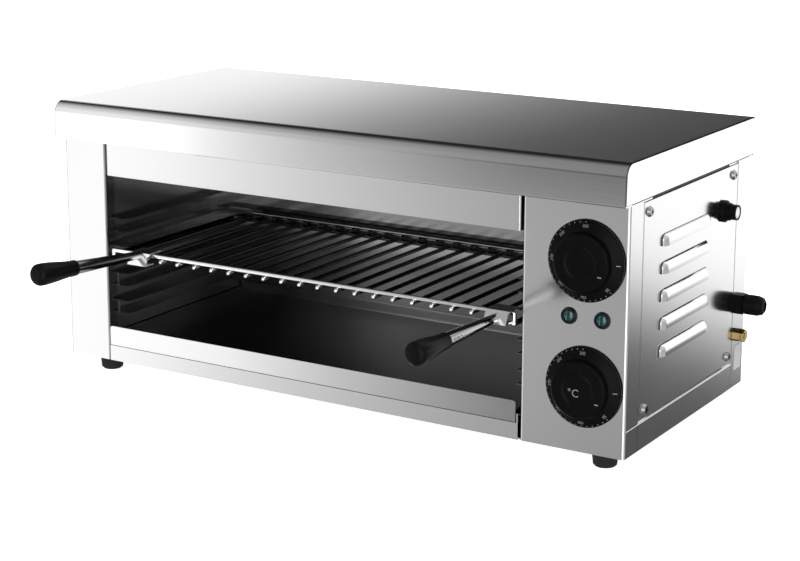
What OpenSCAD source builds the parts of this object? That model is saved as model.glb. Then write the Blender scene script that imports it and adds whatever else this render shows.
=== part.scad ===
// Electric salamander grill (cheese melter): a bent sheet steel cabinet under a loose
// pressed lid, a wire rack with two handles on four pairs of runners, a crumb tray,
// and a control panel with two thermostats on the right.
//
// Frame: +Z up, the front faces -Y, the controls are on the right (+X). The origin is
// the middle of the whole outline, on the surface the feet stand on. Inside place()
// the cabinet's own frame is used: x from its middle, y from its front plane
// backwards, z from its underside.

/* [Cabinet] */
// Width of the cabinet over its two sides
body_w = 600; // [594:1:640]
// Depth of the cabinet from its front plane to its back plane
body_d = 262; // [256:1:290]
// Height of the cabinet from its underside to the lid's lower edge
body_h = 217; // [214:1:240]
// Thickness of the outer sheet steel
sheet_t = 1.2; // [1:0.1:1.5]
// Outside radius of a bend in the outer sheet
bend_r = 2.2; // [2:0.1:3]
// Width of the upright left of the oven opening
stile_w = 50; // [45:1:60]
// Width of the control panel on the front
panel_w = 98; // [92:1:104]
// Depth of the flanges that turn in beside the opening
flange_d = 12; // [8:1:14]
// Height of the base rail under the crumb tray
rail_h = 15; // [13:0.5:15]
// Height of the closed strip above the opening, up to the lid's lower edge
fascia_h = 33; // [28:1:36]
// Gap that is left between two outer sheets
seam = 0.6; // [0.4:0.1:1]

/* [Lid] */
// Height of the lid
lid_h = 36; // [32:1:44]
// How far the lid stands out in front of the cabinet
lid_front = 12.4; // [10:0.2:16]
// Gap between the lid's skirt and the cabinet's sides
lid_gap = 0.2; // [0.2:0.1:1]
// Gap between the lid's skirt and the cabinet's back
lid_back_gap = 1.8; // [1:0.1:3]
// Radius of the lid's rounded front edge
nose_r = 12; // [6:0.5:14]

/* [Service panel] */
// Width of the control panel's side strip, in front of the service panel
side_front_w = 26; // [22:1:30]
// Width of the back panel's side strip, behind the service panel
side_rear_w = 29.5; // [27:0.5:34]
// Height of the base pan's side strip, under the service panel
side_base_h = 24.5; // [20:0.5:28]
// Number of louvres
louvre_count = 5; // [3:1:5]
// Distance of the louvres' rear ends from the back plane
louvre_rear = 96; // [92:1:130]
// Height of a louvre
louvre_h = 10.5; // [9:0.5:12]
// Distance from one louvre to the next
louvre_pitch = 24.3; // [20:0.1:26]
// How far a louvre stands out at its lower edge
louvre_out = 4.5; // [3:0.5:6]
// Radius of a louvre's two upper corners
louvre_corner = 8.5; // [4:0.5:8.5]
// Diameter of a case screw's head
screw_head_d = 9.5; // [7:0.5:10]

/* [Oven] */
// Depth of the space between the oven's back wall and the cabinet's back plane
rear_space = 44.5; // [36:0.5:48]
// Thickness of the oven's lining sheet
liner_t = 1; // [0.8:0.1:1.2]
// Height of the oven's floor sheet above the underside
floor_z = 21.7; // [20:0.1:23]
// Height of the oven's roof above the underside
roof_z = 212; // [208:1:213]
// Number of rack levels
level_count = 4; // [2:1:4]
// Height of the lowest runner above the underside
level_base = 43.9; // [40:0.1:50]
// Distance from one rack level to the next
level_pitch = 27.3; // [24:0.1:30]
// Outside height of a runner channel
runner_h = 13; // [12:0.5:15]
// Width of a runner channel's flanges
runner_w = 13.5; // [12:0.5:15]
// Thickness of a runner channel
runner_t = 0.8; // [0.6:0.1:1]
// Distance from the front plane to the runners' front ends
runner_front = 16; // [15:0.5:24]

/* [Rack] */
// Level that the rack is on, counted from the lowest
rack_level = 3; // [1:1:4]
// Mean gap between the rack's sides and the runners
rack_gap = 5; // [3:0.1:5.5]
// How far the rack's middle lies left of the oven's middle
rack_offset = 1.3; // [0:0.1:2]
// Gap between the bars' rear ends and the oven's back wall
rack_rear_gap = 1.2; // [0.6:0.1:6]
// Diameter of the rack's two side rods
side_rod_d = 5; // [4:0.5:6]
// Diameter of the rack's bars
bar_d = 4; // [3.5:0.5:5]
// Diameter of the front wire and the rear wire
wire_d = 4; // [3.5:0.5:5]
// Number of bars
bar_count = 21; // [15:1:27]
// How far the bars stand out past the axes of the front wire and the rear wire
bar_lead = 5.5; // [4:0.5:6]

/* [Handles] */
// Distance of the left handle's root from the rack's left side
left_handle_inset = 39.5; // [20:0.1:60]
// Distance of the right handle's root from the rack's right side
right_handle_inset = 15.1; // [15:0.1:60]
// Angle by which the left handle rises
left_handle_tilt = 3.5; // [0:0.5:5]
// Angle by which the right handle rises
right_handle_tilt = 0.5; // [0:0.5:5]
// Angle by which the left handle points outwards
left_handle_splay = 2.5; // [0:0.5:4]
// Height of the left handle's root above the bars' axes
left_handle_rise = 5.3; // [0:0.1:6]
// Height of the right handle's root above the bars' axes
right_handle_rise = 1; // [0:0.1:6]
// Length of a handle's steel sleeve
sleeve_l = 87.2; // [70:1:120]
// Diameter of a sleeve at the rack
sleeve_d1 = 7.6; // [7:0.1:9]
// Diameter of a sleeve at the grip
sleeve_d2 = 12.6; // [10:0.1:13]
// Length of a grip without its domed end
grip_l = 45; // [35:1:70]
// Diameter of a grip where it meets the sleeve
grip_d1 = 14; // [13:0.5:16]
// Diameter of a grip at its thick end
grip_d2 = 20.5; // [17:0.5:24]
// Diameter of the rod that holds the handle together
tie_rod_d = 4; // [3:0.5:5]
// Width of a handle's bracket
bracket_w = 22; // [14:1:26]
// Thickness of a handle's bracket
bracket_t = 1.2; // [1:0.1:1.6]
// How far a bracket reaches back over the front wire's axis
bracket_l = 12; // [6:0.5:16]
// How far a bracket's front leans out from its top to its lower edge
bracket_lean = 5; // [0:0.5:6]
// Gap between the bars and a bracket's lower tongue
bracket_drop = 1; // [0:0.5:2]

/* [Crumb tray] */
// Height of the tray's rim above the cabinet's underside
tray_top = 34.5; // [32:0.5:38]
// Thickness of the tray's sheet
tray_t = 1; // [0.8:0.1:1.2]
// Height of the tray's side rims over its underside
tray_rim_h = 4; // [3:0.5:7]
// Height of the tray's rear rim over its underside
tray_rear_h = 10; // [4:0.5:12]
// Gap between the tray and the upright on its left
tray_left_gap = 0.5; // [0.4:0.1:1.5]
// Gap between the tray and the tab of the base rail on its right
tray_right_gap = 1; // [0.4:0.1:3]
// Radius of the front edge's upper corners
tray_corner = 2.5; // [2:0.5:6]

/* [Controls] */
// Distance of the dials' axes from the cabinet's right side
dial_inset = 38; // [36:0.5:42]
// Height of the upper dial's axis above the underside
upper_dial_z = 166.5; // [160:0.5:170]
// Height of the lower dial's axis above the underside
lower_dial_z = 58; // [54:0.5:66]
// Diameter of a dial's skirt
dial_d = 70; // [60:1:72]
// Diameter of a dial's raised hub
hub_d = 51; // [40:1:52]
// How far a dial stands out from the panel
dial_out = 14; // [12:0.5:18]
// Gap between a dial and the panel
dial_gap = 1; // [0.5:0.1:2]
// Diameter of the thermostats' shafts
shaft_d = 6; // [5:0.5:8]
// Radial clearance of a shaft in its bush
shaft_clear = 0.05; // [0.02:0.01:0.1]
// Height of the lamps above the underside
lamp_z = 117.5; // [110:0.5:120]
// Distance from one lamp to the other
lamp_pitch = 30.5; // [26:0.5:34]
// Diameter of a lamp's bezel
bezel_d = 15; // [12:0.5:18]
// Diameter of a lamp's lens
lens_d = 10; // [8:0.5:11]

/* [Side fittings] */
// Distance of the reset button from the back plane
reset_inset = 62; // [62:1:70]
// Height of the reset button above the underside
reset_z = 176; // [170:1:180]
// Diameter of the reset button's collar
collar_d = 20; // [18:0.5:24]
// Diameter of the reset button
button_d = 14; // [10:0.5:15]
// How far the reset button stands out from the service panel
button_out = 14; // [12:0.5:22]
// How far the reset button is pressed in
button_travel = 3; // [2:0.5:4]
// Height of the cable gland above the underside
gland_z = 79.5; // [74:0.5:90]
// Diameter over the cable gland's cap nut
gland_d = 19; // [18:0.5:22]
// Bore for the supply cable
cable_d = 9; // [7:0.5:11]
// How far the cable gland stands out
gland_out = 25; // [22:0.5:30]
// Height of the bonding stud above the underside
bond_z = 49; // [44:0.1:54]
// Diameter of the bonding stud
bond_d = 6; // [5:0.5:8]
// Width of the bonding stud's hexagon nuts over their flats
bond_nut_w = 11; // [10:0.5:13]

/* [Feet] */
// Height of the rubber feet
foot_h = 12; // [8:0.5:20]
// Diameter of a foot at the cabinet
foot_d = 23; // [18:0.5:28]
// Distance of the left feet's axes from the left side
left_foot_inset = 41; // [30:1:48]
// Distance of the right feet's axes from the right side
right_foot_inset = 23; // [18:1:30]
// Distance of the feet's axes from the front plane, and from the back plane
foot_inset_y = 13; // [12.5:0.5:24]

/* [Heaters] */
// Diameter of a heating element's tube
tube_d = 8; // [6.5:0.5:8.5]
// Distance between the two legs of a heating element
element_pitch = 46; // [36:1:56]
// Height of the heating elements above the underside
element_z = 199; // [196:1:200]
// Thickness of the insulation over the oven's roof
wool_t = 22; // [15:1:25]

/* [Hidden] */

$fn = 48;
// A length that makes a cut pass clear through
over = 1;
// Clearance between a piece that moves and what it moves along
slip = 0.3;
// Depth of the front wire's axis behind the front plane
wire_y = 2.5;
// Gap between the strip above the opening and the control panel
flange_gap = 2.1;

// The cabinet's main planes
x_left = -body_w / 2;
x_right = body_w / 2;
open_l = x_left + stile_w;
panel_l = x_right - panel_w;
open_top = body_h - fascia_h;
shell_top = body_h + lid_h - sheet_t;
fascia_r = panel_l - flange_gap;
side_rear_y = body_d - side_rear_w;

// The oven's inside faces and middle, and where its sheets clear the flanges
wall_l = open_l - sheet_t;
wall_r = panel_l + sheet_t;
oven_x = (wall_l + wall_r) / 2;
oven_w = wall_r - wall_l;
oven_d = body_d - rear_space;
liner_y = flange_d + seam;

// The rack's place on its runner
runner_z = level_base + (min(rack_level, level_count) - 1) * level_pitch;
rack_w = oven_w - 2 * (runner_t + rack_gap);
rack_d = oven_d - wire_y - bar_lead - rack_rear_gap;
rack_x = oven_x - rack_offset;
rod_x = (rack_w - side_rod_d) / 2;
bar_pitch = 2 * rod_x / (bar_count + 1);
side_rod_z = runner_z + runner_t + slip + side_rod_d / 2;
bar_z = side_rod_z + (side_rod_d + bar_d) / 2;
wire_z = bar_z + (bar_d + wire_d) / 2;
cross_rod_z = bar_z - (bar_d + wire_d) / 2;

// The brackets' inner corners in (y, z)
bracket_gap = 0.4;
bracket_top = wire_z + wire_d / 2;
bracket_top_y = wire_y - bar_lead - bracket_gap;
bracket_low = bar_z - bar_d / 2 - bracket_drop;
bracket_low_y = bracket_top_y - bracket_lean;

// The tab at the base rail's right end, and the crumb tray beside it
rail_tab_w = 1.4;
rail_tab_h = 8.2;
tray_floor_z = floor_z + liner_t + slip;
tray_lip_z = rail_h + seam;

tray_l = open_l + tray_left_gap;
tray_r = fascia_r - rail_tab_w - tray_right_gap;

// The controls' places
dial_x = x_right - dial_inset;
gland_y = (side_rear_y + body_d) / 2;
reset_y = body_d - reset_inset;
bush_d = 10;
bush_lead = dial_gap / 2;
body_front = sheet_t + 1;

// The service panel's places
screw_margin = 11.5;
screw_front_y = side_front_w + screw_margin;
screw_rear_y = side_rear_y - screw_margin;
screw_low_z = side_base_h + 10;
screw_high_z = body_h - screw_margin;
louvre_margin = 38;
louvre_y = side_front_w + louvre_margin;
louvre_l = body_d - louvre_rear - louvre_y;
louvre_drop = 36;
louvre_top = body_h - louvre_drop;

// The whole outline, which sets the origin
lid_side = lid_gap + sheet_t;
lid_w = body_w + 2 * lid_side;
lid_back = lid_back_gap + sheet_t;
grip_dome = grip_d2 / 4;
handle_l = sleeve_l + grip_l + grip_dome;
handle_y = bracket_top_y - 2 * bracket_t;
left_reach = handle_l * cos(left_handle_tilt) * cos(left_handle_splay);
reach_l = lid_w / 2;
reach_r = x_right + gland_out;
reach_front = max(left_reach, handle_l * cos(right_handle_tilt)) - handle_y;
reach_back = body_d + lid_back;
shift_x = (reach_l - reach_r) / 2;
shift_y = (reach_front - reach_back) / 2;

// Moves a piece from the cabinet's frame to the part's frame
module place() {
    translate([shift_x, shift_y, foot_h]) children();
}

// A box from one corner to the opposite one
module slab(low, high) {
    translate(low) cube(high - low);
}

// A plain cylinder along X or Y, from a point
module along_x(at, d, l) {
    translate(at) rotate([0, 90, 0]) cylinder(d = d, h = l);
}
module along_y(at, d, l) {
    translate(at) rotate([-90, 0, 0]) cylinder(d = d, h = l);
}

// Turns a flat outline in (y, z) into a length along X
module extrude_x(from, l) {
    translate([from, 0, 0]) rotate([90, 0, 90]) linear_extrude(height = l) children();
}

// Turns a flat outline in (x, z) into a length along Y, towards the back
module extrude_y(from, l) {
    translate([0, from + l, 0]) rotate([90, 0, 0]) linear_extrude(height = l) children();
}

// A quarter of a bent sheet seen from its end, in the quadrant (sx, sy)
module bend(at, sx, sy) {
    translate(at) intersection() {
        difference() {
            circle(r = bend_r);
            circle(r = bend_r - sheet_t);
        }
        translate([min(sx, 0) * bend_r, min(sy, 0) * bend_r]) square(bend_r);
    }
}

// A flat piece of sheet seen from its end
module strip(low, high) {
    translate(low) square(high - low);
}

// A round bar that follows a list of points
module bar_through(points, d) {
    for (i = [0 : len(points) - 2]) {
        run = points[i + 1] - points[i];
        across = norm([run[0], run[1]]);
        translate(points[i]) rotate([0, atan2(across, run[2]), atan2(run[1], run[0])])
            cylinder(d = d, h = norm(run));
    }
    for (i = [1 : len(points) - 2]) translate(points[i]) sphere(d = d);
}

// A hexagon's flat outline
module hexagon(across_flats) {
    circle(d = across_flats / cos(30), $fn = 6);
}

// Holes for the case's screws
module back_screw_holes() {
    for (at = back_screws) along_y([at[0], body_d - 2 * sheet_t - over, at[1]], screw_d, 2 * sheet_t + 2 * over);
}
module lid_screw_holes() {
    for (x = lid_screws) along_y([x, body_d - sheet_t - over, lid_screw_z], screw_d, sheet_t + lid_back + 2 * over);
}
module service_screw_holes() {
    for (at = service_screws) along_x([x_right - 2 * sheet_t - over, at[0], at[1]], screw_d, 2 * sheet_t + 2 * over);
}

// A lip welded behind an edge that the service panel's screws go into
module backing_lip(from, to) {
    difference() {
        slab([x_right - 2 * sheet_t, from, sheet_t], [x_right - sheet_t, to, shell_top]);
        service_screw_holes();
    }
}

// A pan head screw along +X whose head stands on the plane x = 0
module case_screw(head_d, l) {
    head_h = head_d * 0.28;
    slot_w = head_d * 0.15;
    rotate([0, 90, 0]) difference() {
        union() {
            translate([0, 0, -l]) cylinder(d = head_d / 2, h = l);
            cylinder(d1 = head_d, d2 = head_d * 0.72, h = head_h);
        }
        for (turn = [0, 90]) rotate([0, 0, turn])
            translate([-head_d * 0.24, -slot_w / 2, head_h * 0.45]) cube([head_d * 0.48, slot_w, head_h]);
    }
}

// Clears the base pan from a flange of sheet beside the opening that starts at x
module pan_notch(x) {
    slab([x - over, bend_r, -over], [x + sheet_t + over, flange_d + over, sheet_t]);
}

// ---------------------------------------------------------------- the outer case

// Left side, front upright, the flange beside the opening and the flange at the back,
// bent from one sheet
module left_side_panel() {
    rear = body_d - sheet_t;
    color("gainsboro") place() difference() {
        linear_extrude(height = shell_top) {
            strip([open_l - sheet_t, bend_r], [open_l, flange_d]);
            bend([open_l - bend_r, bend_r], 1, -1);
            strip([x_left + bend_r, 0], [open_l - bend_r, sheet_t]);
            bend([x_left + bend_r, bend_r], -1, -1);
            strip([x_left, bend_r], [x_left + sheet_t, rear - bend_r]);
            bend([x_left + bend_r, rear - bend_r], -1, 1);
            strip([x_left + bend_r, rear - sheet_t], [x_left + rear_flange_w, rear]);
        }
        pan_notch(open_l - sheet_t);
        back_screw_holes();
    }
}

// Back and the strip that turns round to the right side, with a lip behind the
// service panel
module back_panel() {
    color("silver") place() difference() {
        linear_extrude(height = shell_top) {
            strip([x_left, body_d - sheet_t], [x_right - bend_r, body_d]);
            bend([x_right - bend_r, body_d - bend_r], 1, 1);
            strip([x_right - sheet_t, side_rear_y], [x_right, body_d - bend_r]);
        }
        along_x([x_right - sheet_t - over, gland_y, gland_z], gland_shank_d, sheet_t + 2 * over);
        along_x([x_right - sheet_t - over, gland_y, bond_z], bond_d, sheet_t + 2 * over);
        back_screw_holes();
        lid_screw_holes();
    }
    color("silver") place() backing_lip(screw_rear_y - lip_margin, side_rear_y + seam);
}

// Bottom, the rail under the crumb tray, the strip under the service panel and an
// upright flange along the back
module base_pan() {
    rear = body_d - sheet_t;
    side_a = side_front_w + seam;
    side_b = side_rear_y - seam;
    color("silver") place() difference() {
        union() {
            slab([x_left + sheet_t, bend_r, 0], [x_right - sheet_t, rear - bend_r, sheet_t]);
            slab([open_l, 0, 0], [fascia_r, bend_r + over, sheet_t]);
            slab([open_l, 0, 0], [fascia_r - rail_tab_w, sheet_t, rail_h]);
            slab([fascia_r - rail_tab_w, 0, 0], [fascia_r, sheet_t, rail_h + rail_tab_h]);
            slab([x_right - 2 * sheet_t, side_a, 0], [x_right, side_b, sheet_t]);
            slab([x_right - sheet_t, side_a, 0], [x_right, side_b, side_base_h]);
            slab([x_left + rear_flange_w, rear - bend_r - over, 0], [x_right - 2 * bend_r, rear, sheet_t]);
            slab([x_left + rear_flange_w, rear - sheet_t, 0], [x_right - 2 * bend_r, rear, 2 * rail_h]);
        }
        for (at = foot_places) translate([at[0], at[1], -over]) cylinder(d = foot_screw_d, h = sheet_t + 2 * over);
        back_screw_holes();
    }
}

// Control panel, bent round to the right side, with a lip behind the service panel
module control_panel() {
    color("gainsboro") place() difference() {
        linear_extrude(height = shell_top) {
            strip([panel_l, bend_r], [panel_l + sheet_t, flange_d]);
            bend([panel_l + bend_r, bend_r], -1, -1);
            strip([panel_l + bend_r, 0], [x_right - bend_r, sheet_t]);
            bend([x_right - bend_r, bend_r], 1, -1);
            strip([x_right - sheet_t, bend_r], [x_right, side_front_w]);
        }
        for (z = [upper_dial_z, lower_dial_z]) {
            along_y([dial_x, -over, z], bush_d, sheet_t + 2 * over);
            for (side = [-1, 1])
                along_y([dial_x + side * fixing_pitch / 2, -over, z], fixing_d, sheet_t + 2 * over);
        }
        for (side = [-1, 1])
            along_y([dial_x + side * lamp_pitch / 2, -over, lamp_z], barrel_d, sheet_t + 2 * over);
        pan_notch(panel_l);
    }
    color("gainsboro") place() backing_lip(side_front_w - seam, screw_front_y + lip_margin);
}

// Strip above the opening, with its lower edge and its two ends turned in
module upper_fascia() {
    left = open_l + seam;
    color("gainsboro") place() {
        slab([left + bend_r, 0, open_top], [fascia_r - bend_r, sheet_t, shell_top]);
        slab([left + bend_r, sheet_t, open_top], [fascia_r - bend_r, flange_d, open_top + sheet_t]);
        translate([0, 0, open_top]) linear_extrude(height = shell_top - open_top) {
            bend([left + bend_r, bend_r], -1, -1);
            strip([left, bend_r], [left + sheet_t, flange_d]);
            bend([fascia_r - bend_r, bend_r], 1, -1);
            strip([fascia_r - sheet_t, bend_r], [fascia_r, flange_d]);
        }
    }
}

// A louvre's outline in (y, z): a slit below, two round corners above
module louvre_outline(inset) {
    r = louvre_corner - inset;
    left = louvre_y + inset;
    right = louvre_y + louvre_l - inset;
    top = louvre_h - inset;
    intersection() {
        strip([left, 0], [right, top]);
        union() {
            strip([left, 0], [right, top - r]);
            strip([left + r, 0], [right - r, top]);
            translate([left + r, top - r]) circle(r = r);
            translate([right - r, top - r]) circle(r = r);
        }
    }
}

// The space under a louvre's hood, bounded by a cylinder that meets the sheet at the top
module louvre_bulge(inset) {
    sag = (louvre_h * louvre_h - louvre_out * louvre_out) / (2 * louvre_out);
    intersection() {
        extrude_x(x_right - sheet_t, sheet_t + louvre_out) louvre_outline(inset);
        along_y([x_right - sag, louvre_y - over, 0], 2 * (sag + louvre_out - inset), louvre_l + 2 * over);
    }
}

// Removable louvred panel on the right side
module service_panel() {
    low = side_base_h + seam;
    hole_d = button_d + 2;
    color("gainsboro") place() difference() {
        union() {
            difference() {
                slab([x_right - sheet_t, side_front_w + seam, low], [x_right, side_rear_y - seam, shell_top]);
                for (i = [0 : louvre_count - 1]) translate([0, 0, louvre_top - louvre_h - i * louvre_pitch])
                    extrude_x(x_right - sheet_t - over, sheet_t + 2 * over) louvre_outline(0);
            }
            for (i = [0 : louvre_count - 1]) translate([0, 0, louvre_top - louvre_h - i * louvre_pitch])
                difference() {
                    louvre_bulge(0);
                    translate([0, 0, -over / 10]) louvre_bulge(sheet_t * 0.8);
                }
        }
        service_screw_holes();
        along_x([x_right - sheet_t - over, reset_y, reset_z], hole_d, sheet_t + 2 * over);
    }
}

// The lid's outline seen from its end, shrunk by an inset
module lid_outline(inset, low) {
    front = -lid_front + inset;
    back = body_d + lid_back - inset;
    top = body_h + lid_h - inset;
    r = nose_r - inset;
    strip([front, low], [back, top - r]);
    strip([front + r, low], [back, top]);
    translate([front + r, top - r]) circle(r = r);
}

// Pressed lid with a rounded front edge, open below except along its front
module lid() {
    color("gainsboro") place() difference() {
        extrude_x(-lid_w / 2, lid_w) lid_outline(0, body_h);
        extrude_x(sheet_t - lid_w / 2, lid_w - 2 * sheet_t) lid_outline(sheet_t, body_h + sheet_t);
        slab([sheet_t - lid_w / 2, -lid_gap, body_h - over], [lid_w / 2 - sheet_t, reach_back - sheet_t, body_h + 2 * sheet_t]);
        lid_screw_holes();
    }
}

// ---------------------------------------------------------------- the oven

module oven_left_wall() {
    color("dimgray") place()
        slab([wall_l - liner_t, bend_r, floor_z], [wall_l, oven_d, roof_z]);
}

module oven_right_wall() {
    color("dimgray") place() difference() {
        slab([wall_r, bend_r, floor_z], [wall_r + liner_t, oven_d, roof_z]);
        for (y = element_legs) along_x([wall_r - over, y, element_z], bushing_d, liner_t + 2 * over);
        for (z = sensor_levels) along_x([wall_r - over, sensor_y, z], sensor_d + 2, liner_t + 2 * over);
    }
}

module oven_back_wall() {
    color("silver") place()
        slab([wall_l - liner_t, oven_d, floor_z], [wall_r + liner_t, oven_d + liner_t, roof_z]);
}

// Floor sheet that the crumb tray slides on, with legs down to the base pan
module oven_floor() {
    color("dimgray") place() {
        slab([wall_l, liner_y, floor_z], [wall_r, oven_d, floor_z + liner_t]);
        slab([open_l + seam, bend_r, floor_z], [panel_l - seam, liner_y + over, floor_z + liner_t]);
        for (x = [wall_l, wall_r - liner_t]) slab([x, liner_y, sheet_t], [x + liner_t, oven_d, floor_z]);
    }
}

// Roof sheet that throws the heat down
module oven_roof() {
    color("silver") place()
        slab([wall_l - liner_t, liner_y, roof_z], [wall_r + liner_t, oven_d + liner_t, roof_z + liner_t]);
}

// One side's runner channels, open towards the oven's middle
module runners(wall, inward) {
    length = oven_d - runner_front;
    for (i = [0 : level_count - 1]) translate([wall, runner_front, level_base + i * level_pitch])
        mirror([inward < 0 ? 1 : 0, 0, 0]) {
            cube([runner_t, length, runner_h]);
            cube([runner_w, length, runner_t]);
            translate([0, 0, runner_h - runner_t]) cube([runner_w, length, runner_t]);
        }
}

module left_runners() {
    color("dimgray") place() runners(wall_l, 1);
}

module right_runners() {
    color("dimgray") place() runners(wall_r, -1);
}

// Ceramic fibre board that lies on the roof
module insulation_board() {
    margin = 6;
    top = min(wool_t, shell_top - roof_z - liner_t - over);
    color("ivory") place()
        slab([wall_l + margin, flange_d + margin, roof_z + liner_t],
             [wall_r - margin, oven_d - margin, roof_z + liner_t + top]);
}

// Upright screen between the oven's hot wall and the controls
module heat_shield() {
    x = wall_r + shield_gap;
    top = sensor_levels[1] - 2 * sensor_d;
    color("silver") place() {
        slab([x, flange_d + over, sheet_t], [x + liner_t, oven_d - over, top]);
        slab([x, flange_d + over, sheet_t], [x + shield_gap, oven_d - over, sheet_t + liner_t]);
    }
}

// ---------------------------------------------------------------- the heaters

shield_gap = 10;
element_y = [oven_d * 0.3, oven_d * 0.7];
element_legs = [for (y = element_y) for (side = [-1, 1]) y + side * element_pitch / 2];
element_margin = 26;
element_end = wall_l + element_margin;
bushing_d = tube_d + 4;
tail = 14;
pin_d = 4;

// Hairpin tube heater with its bend at the left and its two tails through the right wall
module heating_element(y) {
    bend_x = element_end + element_pitch / 2;
    color([0.23, 0.2, 0.18]) place() translate([0, y, element_z]) {
        for (side = [-1, 1]) along_x([bend_x, side * element_pitch / 2, 0], tube_d, wall_r + tail - bend_x);
        translate([bend_x, 0, 0]) rotate([0, 0, 90]) rotate_extrude(angle = 180)
            translate([element_pitch / 2, 0]) circle(d = tube_d);
    }
}

// Two hooks of strip steel that carry the heaters under the roof
module element_hangers() {
    low = element_z - tube_d;
    color("gray") place() for (x = [oven_x - oven_w / 4, oven_x + oven_w / 5]) difference() {
        slab([x, element_legs[0] - 12, low], [x + 1.5, element_legs[3] + 12, roof_z]);
        for (y = element_legs) along_x([x - over, y, element_z], tube_d + 0.4, 2 + 2 * over);
    }
}

// Threaded bushings that clamp the heaters' tails in the right wall
module element_bushings() {
    color("goldenrod") place() for (y = element_legs) difference() {
        union() {
            along_x([wall_r - 4, y, element_z], bushing_d, liner_t + 8);
            translate([wall_r + liner_t, y, element_z]) rotate([0, 90, 0])
                linear_extrude(height = 4) hexagon(bushing_d + 5);
            translate([wall_r - 3, y, element_z]) rotate([0, 90, 0]) cylinder(d = bushing_d + 5, h = 3);
        }
        along_x([wall_r - 4 - over, y, element_z], tube_d, liner_t + 8 + 2 * over);
    }
}

// Connecting pins in their ceramic beads at the heaters' tails
module element_terminals() {
    color("white") place() for (y = element_legs) {
        along_x([wall_r + tail, y, element_z], tube_d - 1, 5);
        along_x([wall_r + tail + 5, y, element_z], pin_d, 12);
    }
}

// ---------------------------------------------------------------- the controls

fixing_pitch = 28;
fixing_d = 4;
dial_wall = 4;
shaft_end = body_front + 10;
barrel_d = lens_d + 2;
switch_w = 36;
switch_l = 34;
sensor_d = 6;
sensor_y = oven_d * 0.5;
sensor_levels = [roof_z - 30, roof_z - 42];
capillary_d = 1.6;
sensor_routes = [26, 34];
sensor_turns = [20, 28];

// Thermostat behind the panel: a square switch body with a threaded bush for its shaft
module thermostat(z) {
    color("ivory") place() difference() {
        union() {
            slab([dial_x - switch_w / 2, body_front, z - switch_w / 2],
                 [dial_x + switch_w / 2, body_front + switch_l, z + switch_w / 2]);
            along_y([dial_x, sheet_t, z], bush_d + 8, body_front - sheet_t);
            along_y([dial_x, -bush_lead, z], bush_d, bush_lead + body_front);
            for (side = [-1, 1])
                along_y([dial_x + side * fixing_pitch / 2, sheet_t, z], fixing_d + 3, body_front - sheet_t);
        }
        along_y([dial_x, -over, z], shaft_d + 2 * shaft_clear, over + shaft_end + 2);
        for (side = [-1, 1])
            along_y([dial_x + side * fixing_pitch / 2, -over, z], fixing_d, body_front + 8 + over);
    }
}

// Liquid filled sensor: a bulb in the oven and its capillary tube, which runs beside the
// oven's wall and turns towards the thermostat at a distance behind it
module sensor(z, i) {
    bulb_z = sensor_levels[i];
    route_x = wall_r + sensor_routes[i];
    turn = sensor_turns[i];
    rear = body_front + switch_l;
    bulb_l = 70;
    color("peru") place() {
        along_x([wall_r - bulb_l, sensor_y, bulb_z], sensor_d, bulb_l + liner_t + 4);
        bar_through([
            [wall_r + liner_t + 4, sensor_y, bulb_z],
            [route_x, sensor_y, bulb_z],
            [route_x, rear + turn, bulb_z],
            [route_x, rear + turn, z],
            [dial_x, rear + turn, z],
            [dial_x, rear, z]
        ], capillary_d);
    }
}

// Screws that hold the thermostats to the panel, hidden by the dials
module thermostat_screws() {
    color("silver") place() for (z = [upper_dial_z, lower_dial_z]) for (side = [-1, 1])
        translate([dial_x + side * fixing_pitch / 2, 0, z]) rotate([0, 0, -90]) case_screw(2 * fixing_d, 8);
}

// Skirted dial: a cone round a raised hub with a dished face, hollow behind
module dial(z) {
    back = dial_gap;
    front = dial_out;
    edge = 2.2;
    rise = 2.6;
    chamfer = 1;
    wall = 2;
    hub_r = hub_d / 2;
    stem_r = shaft_d / 2 + 3;
    color([0.09, 0.09, 0.1]) place() translate([dial_x, 0, z]) rotate([90, 0, 0]) difference() {
        rotate_extrude($fn = 96) polygon([
            [0, back + chamfer],
            [stem_r, back + chamfer],
            [stem_r, front - 2 * wall],
            [hub_r - chamfer - wall, front - 2 * wall],
            [hub_r - chamfer, back],
            [dial_d / 2, back],
            [dial_d / 2, back + edge - chamfer],
            [dial_d / 2 - chamfer, back + edge],
            [hub_r + chamfer, back + edge + rise],
            [hub_r, back + edge + rise + chamfer],
            [hub_r - 0.8, front - chamfer],
            [hub_r - 1.8, front],
            [hub_r * 0.58, front - 0.3],
            [hub_r * 0.5, front - 1.1],
            [0, front - 1.4]
        ]);
        cylinder(d = shaft_d, h = front - dial_wall);
    }
}

// Steel shaft from the dial into the thermostat
module shaft(z) {
    color("silver") place() along_y([dial_x, dial_wall - dial_out, z], shaft_d, dial_out - dial_wall + shaft_end);
}

// Round lamp bezel with its barrel through the panel
module lamp_bezel(side) {
    color([0.08, 0.09, 0.1]) place() translate([dial_x + side * lamp_pitch / 2, 0, lamp_z]) rotate([90, 0, 0])
        difference() {
            union() {
                translate([0, 0, -24]) cylinder(d = barrel_d - 0.2, h = 24);
                cylinder(d1 = bezel_d, d2 = bezel_d - 1.6, h = 2.4);
                translate([0, 0, -sheet_t - 4]) cylinder(d = bezel_d + 1, h = 4);
            }
            translate([0, 0, -6]) cylinder(d = lens_d, h = 6 + 2.4 + over);
        }
}

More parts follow.
